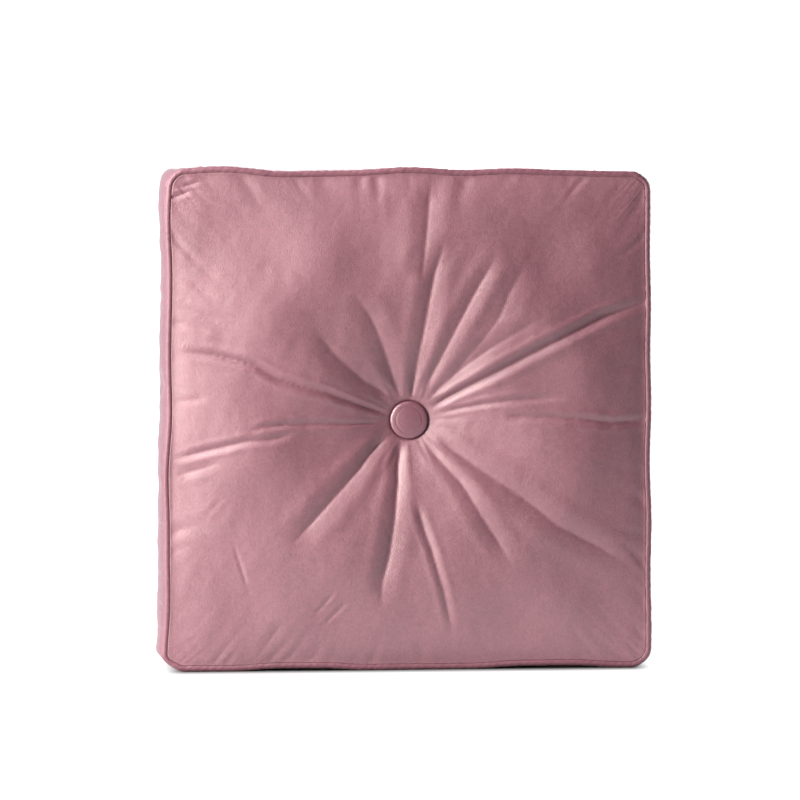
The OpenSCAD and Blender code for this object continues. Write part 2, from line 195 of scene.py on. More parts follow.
front = {
    "grid": 350,
    "crown": 22 * mm,            # rise of the crown over its seam
    "crownFall": 2.2,            # higher keeps the middle flat for longer
    "crownEdge": 0.85,           # lower rolls over the edge faster
    "hollowReach": 150 * mm,     # how far from the button its hollow ends
    "hollowPower": 1.8,          # 1 is a straight cone, higher is deeper by the button
    "lip": 4.5 * mm,             # how high the cloth stands up round the button's rim
    "lumps": 1.0 * mm,           # height of the unevenness of the filling
    "puckers": 90,
    "puckerDeep": 0.6 * mm,
    "seed": 5,
    # each fold runs out from the button: (mm from it, degrees) along it, mm deep, mm wide
    "folds": [
        ([(22, 84), (80, 81.5), (133, 80.7), (166, 79)], 3.0, 5.5),
        ([(130, 85.5), (170, 85), (212, 85)], 2.2, 6),
        ([(32, 64), (88, 63.6), (127, 63.3), (166, 62.4)], 2.3, 4.5),
        ([(60, 47), (118, 49), (145, 52.4), (172, 53.5)], 1.8, 6.5),
        ([(30, 48), (104, 41.4), (150, 37.6)], 2.0, 5),
        ([(28, 31), (79, 29.4), (130, 28.9), (174, 28.3), (197, 28.1), (246, 26.2)], 4.6, 3.2),
        ([(36, 13.5), (70, 12.4), (108, 10.5), (138, 8.2)], 2.8, 2.2),
        ([(91, 2.5), (147, 0.6), (182, -0.8), (215, 0)], 3.1, 2.4),
        ([(36, -34.4), (80, -35), (118, -34.4), (161, -35.5), (206, -33.8), (240, -33.7)], 3.0, 6),
        ([(31, -54), (69, -50.6), (107, -53.4), (133, -54), (157, -55)], 2.8, 5),
        ([(79, -84.7), (116, -80.7), (154, -78.9), (194, -78.7)], 2.2, 2.5),
        ([(24, -108), (56, -101), (88, -99), (121, -99), (146, -100), (169, -98.9)], 3.6, 5.5),
        ([(30, -143), (61, -136.5), (85, -135.3), (109, -134.6), (133, -134.2), (152, -134)], 3.6, 6),
        ([(27, 184.6), (77, 181.6), (109, 181.4), (131, 182), (144, 184)], 2.9, 2.2),
        ([(108, 186.5), (126, 187.2), (147, 186.8), (167, 187.7), (210, 189)], 2.5, 2.3),
        ([(178, 192.4), (212, 193.2)], 1.2, 3),
        ([(24, 164), (76, 161.4), (99, 162.3), (123, 162.2), (146, 160.2), (186, 161.4), (214, 163.2)],
         4.0, 2.5),
        ([(28, 131), (52, 139), (86, 138.7), (113, 136.8)], 2.8, 7),
        ([(24, 112), (54, 110), (77, 110), (99, 111), (121, 113.7)], 2.6, 6),
    ],
    # short wrinkles: x, z at each end, mm deep, mm wide
    "wrinkles": [
        (-158, -110, -144, -153, 0.9, 1.8), (-168, -69, -185, -86, 0.4, 2.4),
        (-68, -153, -86, -174, 0.9, 1.8), (-56, -161, -80, -185, 0.9, 1.8),
        (-115, -181, -135, -210, 0.8, 4.0), (-206, 103, -168, 88, 0.8, 3.0),
        (-198, 125, -174, 110, 0.7, 3.0), (-209, 18, -182, 20, 0.7, 3.0),
        (-213, 198, -194, 205, 1.4, 2.2), (-204, 208, -186, 213, 1.1, 2.0),
    ],
}


def seededFolds(seed, count):
    # folds for a face that isn't laid out by hand: spread round the button, of mixed length, a little bent
    chance = np.random.RandomState(seed)
    folds = []
    for i in range(count):
        angle = 360 * (i + chance.uniform(-0.3, 0.3)) / count
        reach = chance.uniform(80, 205)
        bend = chance.uniform(-5, 5)
        path = [(26, angle), (26 + (reach - 26) * 0.5, angle + bend), (reach, angle + bend * 1.4)]
        folds.append((path, chance.uniform(1.6, 3.6), chance.uniform(2.4, 6.5)))
    return folds


backWrinkles = [
    (-150, 120, -132, 150, 0.9, 2.0), (150, 60, 178, 72, 1.0, 2.6), (60, -160, 74, -188, 0.9, 2.0),
    (-90, -150, -104, -182, 0.8, 2.4), (120, 150, 150, 166, 0.9, 2.2),
]
back = dict(front, grid=220, seed=8, hollowReach=190 * mm, hollowPower=2.5,
            folds=seededFolds(21, 17), wrinkles=backWrinkles)


def foldShape(across):
    # A sharp valley in a broader one in a broader one still, with a soft ridge beside them. The valleys fall
    # off as e to the minus a power of the distance across, which is given in fold widths.
    return (-0.62 * np.exp(-(across / 0.42) ** 1.15) - 0.4 * np.exp(-(across / 1.15) ** 1.6)
            - 0.28 * np.exp(-(across / 3.6) ** 1.8) + 0.30 * np.exp(-((across - 2.0) / 0.95) ** 2))


def radialFold(reach, angle, path, deep, wide):
    # One fold along its path. It narrows towards the button and fades at both ends.
    marks = np.array([p[0] for p in path]) * mm
    turns = np.radians([p[1] for p in path])
    off = np.mod(angle - np.interp(reach, marks, turns) + np.pi, 2 * np.pi) - np.pi
    across = np.abs(reach * np.sin(np.clip(off, -1.5, 1.5)))
    across = across / (wide * mm * (0.4 + 0.6 * np.minimum(reach / (60 * mm), 1.5)))
    length = marks[-1] - marks[0]
    fade = ramp(reach, marks[0] - 8 * mm, marks[0] + 10 * mm)
    fade = fade * (1 - ramp(reach, marks[-1] - 0.24 * length, marks[-1] + 8 * mm))
    return 0.75 * deep * mm * fade * foldShape(across) * (np.abs(off) < 1.2)


def straightWrinkle(x, z, x0, z0, x1, z1, deep, wide):
    # the same shape along a short straight line
    length = math.hypot(x1 - x0, z1 - z0) * mm
    ux, uz = (x1 - x0) * mm / length, (z1 - z0) * mm / length
    along = ((x - x0 * mm) * ux + (z - z0 * mm) * uz) / length
    across = np.abs((x - x0 * mm) * uz - (z - z0 * mm) * ux) / (wide * mm)
    return 0.7 * deep * mm * foldShape(across) * ramp(along, -0.15, 0.3) * (1 - ramp(along, 0.6, 1.15))


def crownHeight(s, t, reach, face, ring=0.0):
    # The crown is (1 - |s|^a)(1 - |t|^a), to a power below 1 so that it rolls over at the seam.
    # The hollow is taken off it: a cone from the button's edge, eased out where it ends.
    a = face["crownFall"]
    crown = face["crown"] * np.maximum((1 - np.abs(s) ** a) * (1 - np.abs(t) ** a), 0) ** face["crownEdge"]
    crown = crown * (1 - ring ** 40)
    beyond = np.clip((reach - buttonRadius) / face["hollowReach"], 0, 1)
    lip = face["lip"] * (1 - np.exp(-(np.maximum(reach - buttonRadius + 1.6 * mm, 0) / (1.5 * mm)) ** 2))
    drop = panelEdge + face["crown"] - seatDepth
    hollow = (drop - face["lip"]) * (1 - beyond) ** face["hollowPower"]
    return panelEdge + crown - hollow - face["lip"] + lip


def faceGrid(count):
    # A square grid, finer towards its sides, and where each of its rings meets the outline.
    line = np.linspace(-1, 1, count + 1)
    line = line * (1 + 0.25 * (1 - line ** 2))
    s, t = np.meshgrid(line, line, indexing="ij")
    ring = np.maximum(np.abs(s), np.abs(t))
    safe = np.maximum(ring, 1e-9)
    a, b, c, d = cornerMiddles
    zipSide = a + (t / safe + 1) / 2 * (b - a)
    head = b + (1 - s / safe) / 2 * (c - b)
    farSide = c + (1 - t / safe) / 2 * (d - c)
    foot = d + (s / safe + 1) / 2 * (1 + a - d)
    nearest = [s >= np.abs(t), t >= np.abs(s), -s >= np.abs(t)]
    share = np.select(nearest, [zipSide, head, farSide], foot)
    return s, t, ring, share


def facePoints(face, side):
    s, t, ring, share = faceGrid(face["grid"])
    cx, cz, nx, nz = outline(share)
    out, forward = edgeShift(share, side)
    radius = cushion["cornerRadius"] - panelInset + 1.0 * mm     # a little way in under the piping
    edgeX, edgeZ = cx + radius * nx, cz + radius * nz
    x = ring * edgeX + ring ** 6 * out * nx
    z = ring * edgeZ + ring ** 6 * out * nz
    fromEdge = (1 - ring) * (edgeX * nx + edgeZ * nz)
    reach, angle = np.hypot(x, z), np.arctan2(z, x)
    s, t = (np.clip(v / (half - panelInset), -1, 1) for v, half in ((x, halfWide), (z, halfTall)))
    depth = crownHeight(s, t, reach, face, ring) + ring ** 8 * forward
    depth = depth + faceDetail(face, x, z, reach, angle, fromEdge, share, ring)
    return np.stack([x, -side * depth, z + halfTall], -1)


def puckerShape(across):
    # a valley with a soft ridge on each side, across being in pucker widths
    return -np.exp(-across ** 1.6) + 0.3 * np.exp(-((across - 1.9) / 0.9) ** 2)


def faceDetail(face, x, z, reach, angle, fromEdge, share, ring):
    # everything that roughens a face: folds, wrinkles, lumps, gathers, puckers and tucks
    chance = np.random.RandomState(face["seed"])
    detail = np.zeros_like(x)
    for path, deep, wide in face["folds"]:
        detail += radialFold(reach, angle, path, deep, wide)
    for wrinkle in face["wrinkles"]:
        detail += straightWrinkle(x, z, *wrinkle)
    # lumps in the filling: long cosines in mixed directions
    for _ in range(16):
        turn, length = chance.uniform(0, np.pi), chance.uniform(60, 150) * mm
        wave = np.cos(2 * np.pi * (x * np.cos(turn) + z * np.sin(turn)) / length + chance.uniform(0, 6.28))
        detail += face["lumps"] / 16 ** 0.5 * wave * ramp(fromEdge, 0, 60 * mm)
    # the cloth's own unevenness
    for _ in range(40):
        turn, length = chance.uniform(0, np.pi), chance.uniform(9, 30) * mm
        wave = np.cos(2 * np.pi * (x * np.cos(turn) + z * np.sin(turn)) / length + chance.uniform(0, 6.28))
        detail += 0.004 * length / 40 ** 0.5 * wave * ramp(fromEdge, 0, 12 * mm)
    # small gathers close round the button
    for i in range(26):
        turn = 2 * np.pi * (i + chance.uniform(-0.35, 0.35)) / 26
        reachOut = chance.uniform(28, 52)
        path = [(15, math.degrees(turn)), (reachOut, math.degrees(turn) + chance.uniform(-3, 3))]
        detail += radialFold(reach, angle, path, chance.uniform(0.2, 0.7), 2.2)
    # puckers that the stitching pulls in at the seam, each square to it or leaning a little
    for _ in range(face["puckers"]):
        at = chance.uniform(0, 1)
        lean = chance.uniform(-0.35, 0.35)
        length, wide = chance.uniform(8, 26) * mm, chance.uniform(3.2, 7.5) * mm
        deep = face["puckerDeep"] * chance.uniform(0.3, 1.2)
        off = (np.mod(share - at + 0.5, 1) - 0.5) * roundIt * (0.4 + 0.6 * ring) + lean * fromEdge
        fade = np.exp(-(fromEdge / length) ** 1.6) * (1 - np.exp(-fromEdge / (3.5 * mm)))
        detail += deep * puckerShape(np.abs(off) / wide) * fade
    # tucks that gather each corner
    for at in cornerMiddles:
        for k in range(4):
            off = (np.mod(share - at + 0.5, 1) - 0.5) * roundIt * (0.25 + 0.75 * ring)
            off = off - (k - 1.5) * 8 * mm + chance.uniform(-2, 2) * mm
            off = off + chance.uniform(-0.3, 0.3) * fromEdge
            length = chance.uniform(16, 42) * mm
            shape = -np.exp(-(np.abs(off) / (2.6 * mm)) ** 1.5)
            fade = np.exp(-(fromEdge / length) ** 2) * (1 - np.exp(-fromEdge / (1.6 * mm)))
            detail += 0.2 * mm * shape * fade
    return detail * (1 - np.exp(-np.maximum(reach - buttonRadius * 0.8, 0) / (6 * mm)))


def makePanel(name, face, side, finish, node):
    points = facePoints(face, side)
    n = face["grid"] + 1
    quads = gridQuads(n, n)
    if side < 0:
        quads = quads[:, ::-1]
    panel = addPiece(name, points, quads)
    thicken(panel, cushion["velvetThick"])
    place(panel, finish, "cushion_body", "velvet_face", node)


class Wire:
    # a socket that takes part in Python sums
    def __init__(self, finish, socket):
        self.finish, self.socket = finish, socket

    def maths(self, operation, first, second):
        return self.finish.node("ShaderNodeMath", {"operation": operation}, {0: first, 1: second})

    def __add__(self, other):
        return self.maths("ADD", self, other)

    def __radd__(self, other):
        return self.maths("ADD", other, self)

    def __sub__(self, other):
        return self.maths("SUBTRACT", self, other)

    def __rsub__(self, other):
        return self.maths("SUBTRACT", other, self)

    def __mul__(self, other):
        return self.maths("MULTIPLY", self, other)

    def __rmul__(self, other):
        return self.maths("MULTIPLY", other, self)

    def __pow__(self, other):
        return self.maths("POWER", self, other)


class Finish:
    # one material, with the constant sockets set on its shader
    def __init__(self, name, **fixed):
        self.material = bpy.data.materials.new(name)
        self.material.use_nodes = True
        self.tree = self.material.node_tree
        self.surface = next(n for n in self.tree.nodes if n.type == "BSDF_PRINCIPLED")
        for socket, value in fixed.items():
            self.surface.inputs[socket.replace("_", " ")].default_value = value

    def node(self, kind, settings=None, inputs=None, output=0):
        made = self.tree.nodes.new(kind)
        for key, value in (settings or {}).items():
            setattr(made, key, value)
        for key, value in (inputs or {}).items():
            if isinstance(value, Wire):
                self.tree.links.new(value.socket, made.inputs[key])
            else:
                made.inputs[key].default_value = value
        return Wire(self, made.outputs[output])

    def feed(self, socket, wire):
        self.tree.links.new(wire.socket, self.surface.inputs[socket])

    def where(self):
        # the point's place on its own piece, in metres
        return self.node("ShaderNodeTexCoord", output=3)

    def apart(self, where):
        # x, y and z of a place
        made = self.node("ShaderNodeSeparateXYZ", None, {0: where})
        return [Wire(self, made.socket.node.outputs[i]) for i in range(3)]

    def noise(self, where, size, detail=2.0, rough=0.5):
        # size is the pattern's wavelength in metres
        return self.node("ShaderNodeTexNoise", None,
                         {"Vector": where, "Scale": 1 / size, "Detail": detail, "Roughness": rough})

    def blendColour(self, factor, first, second):
        return self.node("ShaderNodeMix", {"data_type": "RGBA"}, {0: factor, 6: first, 7: second}, output=2)

    def bump(self, height, strength, distance):
        return self.node("ShaderNodeBump", None,
                         {"Height": height, "Strength": strength, "Distance": distance})


velvet = {
    "faceDark": (0.160, 0.046, 0.069, 1),
    "faceLight": (0.275, 0.092, 0.126, 1),
    "trimDark": (0.150, 0.044, 0.068, 1),
    "trimLight": (0.225, 0.074, 0.104, 1),
    # the side wall's velvet is the face's velvet made darker and greyer: painted shade, for how dim the wall
    # looks
    "sideShadedDark": (0.115, 0.044, 0.066, 1),
    "sideShadedLight": (0.185, 0.076, 0.106, 1),
    "sheenTint": (1.0, 0.92, 0.94, 1),
    "sheenWeight": 0.22,
    "sheenRoughness": 0.3,
    "roughness": 0.52,           # the pile's broad shine, with the refraction below for its strength
    "ior": 1.64,
}


def velvetFinish(name, dark, light, sheen, shine, smoother=0.0):
    # Short pile: slow shading where it has been brushed, a fine mottle, and a grain that catches the light.
    made = Finish(name, Sheen_Weight=sheen, Sheen_Roughness=velvet["sheenRoughness"],
                  Sheen_Tint=velvet["sheenTint"], Specular_IOR_Level=shine, IOR=velvet["ior"])
    where = made.where()
    brushed = made.noise(where, 0.09, 3, 0.55)
    mottle = made.noise(where, 0.0034, 4, 0.65)
    grain = made.noise(where, 0.0011, 3, 0.7)
    shade = 0.5 + (brushed - 0.5) * 0.8 + (mottle - 0.5) * 1.3 + (grain - 0.5) * 1.4
    made.feed("Base Color", made.blendColour(shade, dark, light))
    made.feed("Roughness", velvet["roughness"] - smoother + (mottle - 0.5) * 0.15)
    pile = grain * 0.8 + mottle * 0.4
    made.feed("Normal", made.bump(pile, 0.55, 0.8 * mm))
    return made.material


def plainWeave(name, colour, thread, roughness):
    # crossed threads: two sine bands at right angles, with some slubs
    made = Finish(name, Sheen_Weight=0.15, Sheen_Roughness=0.5, Specular_IOR_Level=0.25)
    where = made.where()
    x, y, z = made.apart(where)
    turn = 2 * math.pi / thread
    sine = {"operation": "SINE"}
    warp = made.node("ShaderNodeMath", sine, {0: (x + y) * turn})
    weft = made.node("ShaderNodeMath", sine, {0: z * turn})
    slub = made.noise(where, 0.004, 3, 0.6)
    height = warp * weft * 0.5 + slub
    shade = 0.5 + (slub - 0.5) * 0.8 + warp * weft * 0.12
    darker = tuple(c * 0.8 for c in colour[:3]) + (1,)
    made.feed("Base Color", made.blendColour(shade, darker, colour))
    made.feed("Roughness", roughness + (slub - 0.5) * 0.1)
    made.feed("Normal", made.bump(height, 0.3, 0.25 * mm))
    return made.material


def hardFinish(name, colour, metallic, roughness):
    # metal, nylon or thread: slow wear in the colour and the shine, and a fine grain
    made = Finish(name, Metallic=metallic, Specular_IOR_Level=0.5)
    where = made.where()
    wear = made.noise(where, 0.003, 4, 0.6)
    fine = made.noise(where, 0.0004, 2, 0.5)
    darker = tuple(c * 0.85 for c in colour[:3]) + (1,)
    made.feed("Base Color", made.blendColour(wear, darker, colour))
    made.feed("Roughness", roughness + (wear - 0.5) * 0.2)
    made.feed("Normal", made.bump(fine, 0.08, 0.1 * mm))
    return made.material


velvetFace = velvetFinish("velvet face", velvet["faceDark"], velvet["faceLight"],
                          velvet["sheenWeight"], 1.0)
velvetTrim = velvetFinish("velvet trim", velvet["trimDark"], velvet["trimLight"], 0.12, 0.6)
velvetButton = velvetFinish("velvet button", velvet["trimDark"], velvet["trimLight"], 0.2, 1.0, 0.14)
# the side wall and the zip's side get the face velvet darker and greyer, as painted shade
shadedSideVelvet = velvetFinish("velvet side painted shade", velvet["sideShadedDark"], velvet["sideShadedLight"], 0.3, 0.7)
calico = plainWeave("calico", (0.72, 0.66, 0.54, 1), 0.0006, 0.85)
fibre = plainWeave("carded fibre", (0.86, 0.86, 0.84, 1), 0.004, 0.9)
cottonCord = plainWeave("twisted cotton", (0.78, 0.75, 0.66, 1), 0.0011, 0.85)
tapeCloth = plainWeave("zip tape", (0.36, 0.115, 0.15, 1), 0.0009, 0.7)
tinned = hardFinish("tinned steel", (0.62, 0.62, 0.64, 1), 1.0, 0.35)
zipEnamel = hardFinish("zip enamel", (0.40, 0.15, 0.18, 1), 0.35, 0.32)
zipNylon = hardFinish("zip nylon", (0.42, 0.14, 0.18, 1), 0.0, 0.45)
thread = hardFinish("sewing thread", (0.45, 0.17, 0.22, 1), 0.0, 0.6)


piping = {
    "along": 1500, "round": 22,
    "pucker": 0.10 * mm,         # how much the bias-cut cover gathers on its cord
    "swell": 0.12 * mm,          # how much its thickness varies
    "seam": 0.9 * mm,            # half the gap between its two edges in the seam
    "cordRadius": 1.95 * mm, "strand": 0.12 * mm, "twist": 9 * mm,
}


def makePiping(name, cordName, side, finish):
    # The strip's outer face: in from the seam allowance, round the cord, and back, carried once round.
    # Its gathers are two sines of the way along, slanted as they go round.
    share = np.linspace(0, 1, piping["along"], endpoint=False)[:, None]
    turn = np.linspace(math.radians(166), math.radians(-166), piping["round"])[None, :]
    cx, cz, nx, nz = outline(share)
    out, forward = edgeShift(share, side)
    length = share * roundIt
    radius = pipeRadius + piping["pucker"] * (
        np.sin(2 * np.pi * (length / (2.6 * mm) + turn * 0.55)) * 0.6
        + np.sin(2 * np.pi * (length / (7.1 * mm) - turn * 0.4)) * 0.8)
    radius = radius + piping["swell"] * waves(share, 51 + side, 60, 140)
    centre = cushion["cornerRadius"] - pipeRadius
    across = radius * np.cos(turn)
    ahead = radius * np.sin(turn)
    inner = np.array([-panelInset - 10 * mm, -panelInset - 0.5 * mm]) + pipeRadius
    across = np.concatenate([np.broadcast_to(inner[None, :], (len(share), 2)), across,
                             np.broadcast_to(inner[::-1][None, :], (len(share), 2))], 1)
    tail = np.full((len(share), 2), piping["seam"])
    ahead = np.concatenate([tail, ahead, -tail], 1)
    off = centre + across + out
    x, z = cx + off * nx, cz + off * nz
    y = -side * (seamDepth + forward + ahead)
    points = np.stack([x, np.broadcast_to(y, x.shape), np.maximum(z + halfTall, 0)], -1)
    quads = gridQuads(points.shape[0], points.shape[1], loopRows=True)
    if side > 0:
        quads = quads[:, ::-1]
    tube = addPiece(name, points, quads)
    thicken(tube, cushion["velvetThick"])
    node = "front_piping_cover" if side > 0 else "back_piping_cover"
    place(tube, finish, "cushion_body", "velvet_trim", node)
    # the cord inside: three strands' worth of twist on a round section
    turn = np.linspace(0, 2 * np.pi, 14, endpoint=False)[None, :]
    twist = np.cos(3 * turn - 2 * np.pi * length / piping["twist"])
    radius = piping["cordRadius"] + piping["strand"] * twist
    off = centre + out + radius * np.cos(turn)
    x, z = cx + off * nx, cz + off * nz
    y = -side * (seamDepth + forward + radius * np.sin(turn))
    points = np.stack([x, np.broadcast_to(y, x.shape), z + halfTall], -1)
    cord = addPiece(cordName, points, gridQuads(points.shape[0], points.shape[1], True, True))
    closeUp(cord)
    place(cord, cottonCord, "cushion_body", "cotton_cord",
          "front_piping_cord" if side > 0 else "back_piping_cord")


boxing = {
    "along": 1250, "across": 32,
    "allowance": 10 * mm,        # width of the seam allowances
    "foldUnder": 9 * mm,         # width of the edges folded under beside the zip
    "foldRadius": 1.2 * mm,      # of the folded edges
    "tuck": 4 * mm,              # how far its ends run under the zip's side
    "tuckDeep": 3.5 * mm,        # how far below the zip's side they lie
    "seamEnd": 9 * mm,           # how far its long edges reach into the seam
    "bulge": {"left": 6.0 * mm, "top": 2.0 * mm, "right": 1.2 * mm},
    "puckers": 190, "puckerDeep": 0.9 * mm, "ripple": 0.55 * mm,
    # places where the wall has buckled inwards: which side, height from the middle, mm deep
    "buckles": ((-1, 33, 3.4), (-1, -60, 2.2), (1, 120, 0.8)),
}
zipLow, zipHigh = stripLow[2] - halfTall, stripHigh[2] - halfTall
zipFold = -stripHigh[1]      # from the middle of the zip to each folded edge
zipShares = [outlineMarks[2] + (v + straightZ) / roundIt for v in (zipLow, zipHigh)]
wallEdge = seamDepth - pipeRadius
zipFlat = wallEdge - zipFold - boxing["foldRadius"]      # width between the fold and the piping


def boxingOut(share, across):
    # How far the side wall stands out. across is -1 at the front piping and 1 at the back one.
    # It bulges as a shallow arch, ripples slowly and puckers in from both seams, and lies flat on the floor.
    cz, nx, nz = outline(share)[1:]
    floor = ramp(-nz, 0.1, 0.8)
    bulge = boxing["bulge"]
    size = bulge["left"] * ramp(-nx, 0.1, 0.9) + bulge["top"] * ramp(nz, 0.1, 0.9)
    size = size + bulge["right"] * ramp(nx, 0.1, 0.9)
    arch = np.maximum(1 - across ** 2, 0) ** 0.75
    shape = size * arch
    shape = shape + boxing["ripple"] * waves(share + across * 0.004, 61, 18, 60) * arch
    shape = shape + 0.5 * boxing["ripple"] * waves(share - across * 0.006, 63, 50, 120) * arch ** 0.5
    chance = np.random.RandomState(9)
    for _ in range(boxing["puckers"]):
        at, end = chance.uniform(0, 1), chance.choice([-1, 1])
        reach, wide = chance.uniform(0.25, 0.9), chance.uniform(1.6, 4.0) * mm
        fromSeam = 1 - end * across
        off = (np.mod(share - at + 0.5, 1) - 0.5) * roundIt + chance.uniform(-6, 6) * mm * fromSeam
        fade = np.exp(-(fromSeam / reach) ** 2) * (1 - np.exp(-fromSeam / 0.04))
        dip = puckerShape(np.abs(off) / wide) * fade
        shape = shape + boxing["puckerDeep"] * chance.uniform(0.3, 1.3) * dip
    for at, z, deep in boxing["buckles"]:
        near = np.exp(-((cz - z * mm) / (9 * mm)) ** 2) * ramp(nx * at, 0.5, 0.9)
        shape = shape - deep * mm * near * np.exp(-((across + 0.45) / 0.5) ** 2)
    return shape * (1 - floor) + np.minimum(shape, 0) * floor * 0.3


def boxingEdge(share, across):
    # the wall's edges follow each piping as it wanders, but don't sink through the floor
    frontOut, frontAhead = edgeShift(share, 1)
    backOut, backAhead = edgeShift(share, -1)
    mix = (across + 1) / 2
    out = frontOut * (1 - mix) + backOut * mix
    y = across * wallEdge - frontAhead * (1 - mix) + backAhead * mix
    foot = ramp(-outline(share)[3], 0.2, 0.9)
    return np.minimum(out, 0) * foot + out * (1 - foot), y


def makeBoxing():
    # The strip between the pipings on three sides and past the corners of the zip's side.
    # It runs on a little under both ends of the zip's side, with closer rows there.
    tuck, close = boxing["tuck"] / roundIt, 9 * mm / roundIt      # close is the stretch of closer rows
    start, end = zipShares[1] - tuck, zipShares[0] + 1 + tuck
    share = np.concatenate([np.linspace(start, start + close, 24)[:-1],
                            np.linspace(start + close, end - close, boxing["along"] - 46),
                            np.linspace(end - close, end, 24)[1:]])
    # rows across are closer towards both seams, by a sine stretched to reach 1 at its ends
    widest = math.pi / 2 * 0.92
    across = np.sin(np.linspace(-1, 1, boxing["across"]) * widest) / math.sin(widest)
    share, across = np.meshgrid(share, across, indexing="ij")
    cx, cz, nx, nz = outline(share)
    out, y = boxingEdge(share, across)
    fromEnd = np.minimum(share - share[0, 0], share[-1, 0] - share) * roundIt
    dip = boxing["tuckDeep"] * (1 - ramp(fromEnd, boxing["tuck"] - 0.6 * mm, boxing["tuck"] + 1.4 * mm))
    wall = cushion["cornerRadius"] + out + boxingOut(share, across) - dip
    # the wall lies flat where the zip's pull hangs over it
    height = cz + halfTall
    pressed = np.exp(-((height - pullMiddle) / (15 * mm)) ** 6) * np.exp(-(y / (9 * mm)) ** 4)
    pressed = pressed * ramp(nx, 0.6, 0.95)
    wall = wall - pressed * np.maximum(wall - cushion["cornerRadius"] + 0.2 * mm, 0)

    def turned(end, inward, ahead):
        # each edge turns in under its piping and ends in the seam
        edge = 0 if end < 0 else -1
        return wall[:, [edge]] - inward, y[:, [edge]] + end * ahead

    inSeam, underPiping = panelInset + boxing["seamEnd"], panelInset * 0.55
    parts = [turned(-1, inSeam, 0.9 * mm), turned(-1, underPiping, 0.6 * mm), (wall, y),
             turned(1, underPiping, 0.6 * mm), turned(1, inSeam, 0.9 * mm)]
    radius = np.concatenate([p[0] for p in parts], 1)
    y = np.concatenate([p[1] for p in parts], 1)
    cx, cz, nx, nz = (v[:, :1] for v in (cx, cz, nx, nz))
    points = np.stack([cx + radius * nx, y, np.maximum(cz + radius * nz + halfTall, 0)], -1)
    strip = addPiece("boxing", points, gridQuads(*points.shape[:2])[:, ::-1])
    thicken(strip, cushion["velvetThick"])
    place(strip, shadedSideVelvet, "cushion_body", "velvet_trim", "boxing_strip")
    allowances = 2 * boxing["allowance"]
    flat = (2 * seamDepth + allowances, roundIt - (zipHigh - zipLow) + allowances)


def zipHeight(share, level, side):
    # How far the zip's side stands out. level is 0 at the fold by the zip and 1 at the piping.
    # It is the wall's bulge, sunk along the row of stitches and at both ends.
    out = boxingEdge(share, -side * np.ones_like(share))[0]
    height = out * level ** 2 + boxingOut(share, -side * (0.15 + 0.85 * level)) * level * (1 - 0.2 * level)
    stitch = boxing["foldRadius"] + level * zipFlat
    height = height - 0.35 * mm * np.exp(-((stitch - zipper["fromFold"]) / (0.9 * mm)) ** 2)
    height = height + 0.12 * mm * np.sin(2 * np.pi * share * roundIt / (17 * mm)) * ramp(level, 0, 0.3)
    fromEnd = np.minimum(share - zipShares[0], zipShares[1] - share) * roundIt
    height = height - 1.0 * mm * np.exp(-(fromEnd / (1.6 * mm)) ** 2)
    return height - 2.4 * mm * np.exp(-(fromEnd / (0.35 * mm)) ** 2)


def makeZipStrip(name, side, node):
    # Half of the zip's side: the wall, a fold of small radius at the zip, and the edge turned under.
    radius = boxing["foldRadius"]
    start = zipFold + radius
    share = np.linspace(zipShares[0] + 0.1 * mm / roundIt, zipShares[1] - 0.1 * mm / roundIt, 620)
    level = np.linspace(1, 0, 26)
    turn = np.linspace(0, math.pi, 8)[1:]
    share, level = np.meshgrid(share, level, indexing="ij")
    cz = outline(share)[1]
    edge = np.abs(boxingEdge(share, -side * np.ones_like(share))[1])
    y = start + level * (edge - start)
    height = zipHeight(share, level, side)
    bend = np.stack([-radius + radius * np.cos(turn), start - radius * np.sin(turn)])
    rows = len(share)
    under = np.linspace(0, 1, 5)[1:] * 8 * mm
    height = np.concatenate([
        height[:, :1] - panelInset - boxing["seamEnd"], height[:, :1] - panelInset * 0.55, height,
        np.broadcast_to(bend[0], (rows, len(turn))), np.full((rows, 4), -2 * radius)], 1)
    y = np.concatenate([
        y[:, :1] + 0.9 * mm, y[:, :1] + 0.6 * mm, y,
        np.broadcast_to(bend[1], (rows, len(turn))), np.broadcast_to(start + under, (rows, 4))], 1)
    x = halfWide + height
    z = cz[:, :1] + halfTall + np.zeros_like(x)
    points = np.stack([x, -side * y, z], -1)
    quads = gridQuads(*points.shape[:2])
    if side > 0:
        quads = quads[:, ::-1]
    strip = addPiece(name, points, quads)
    thicken(strip, cushion["velvetThick"])
    place(strip, shadedSideVelvet, "cushion_body", "velvet_trim", node)
    flat = (seamDepth - zipFold + boxing["foldUnder"] + boxing["allowance"],
            zipHigh - zipLow + 2 * boxing["allowance"])


zipper = {
    "pitch": 1.4 * mm,           # of the coil's turns
    "wire": 0.34 * mm,           # radius of the coil's wire
    "stitch": 2.3 * mm,          # length of one stitch
    "stitchPitch": 3.1 * mm,
    "fromFold": 5 * mm,          # from each folded edge to its row of stitches
    "thread": (0.22 * mm, 0.24 * mm),
}


def tubeAlong(path, radius, around):
    # a round section carried along a path, square to it
    ahead = np.gradient(path, axis=0)
    ahead /= np.linalg.norm(ahead, axis=1)[:, None]
    level = np.cross(ahead, np.array([1.0, 0.0, 0.0]))
    level /= np.linalg.norm(level, axis=1)[:, None]
    upward = np.cross(level, ahead)
    turn = np.linspace(0, 2 * np.pi, around, endpoint=False)[None, :, None]
    return path[:, None] + radius * (np.cos(turn) * level[:, None] + np.sin(turn) * upward[:, None])


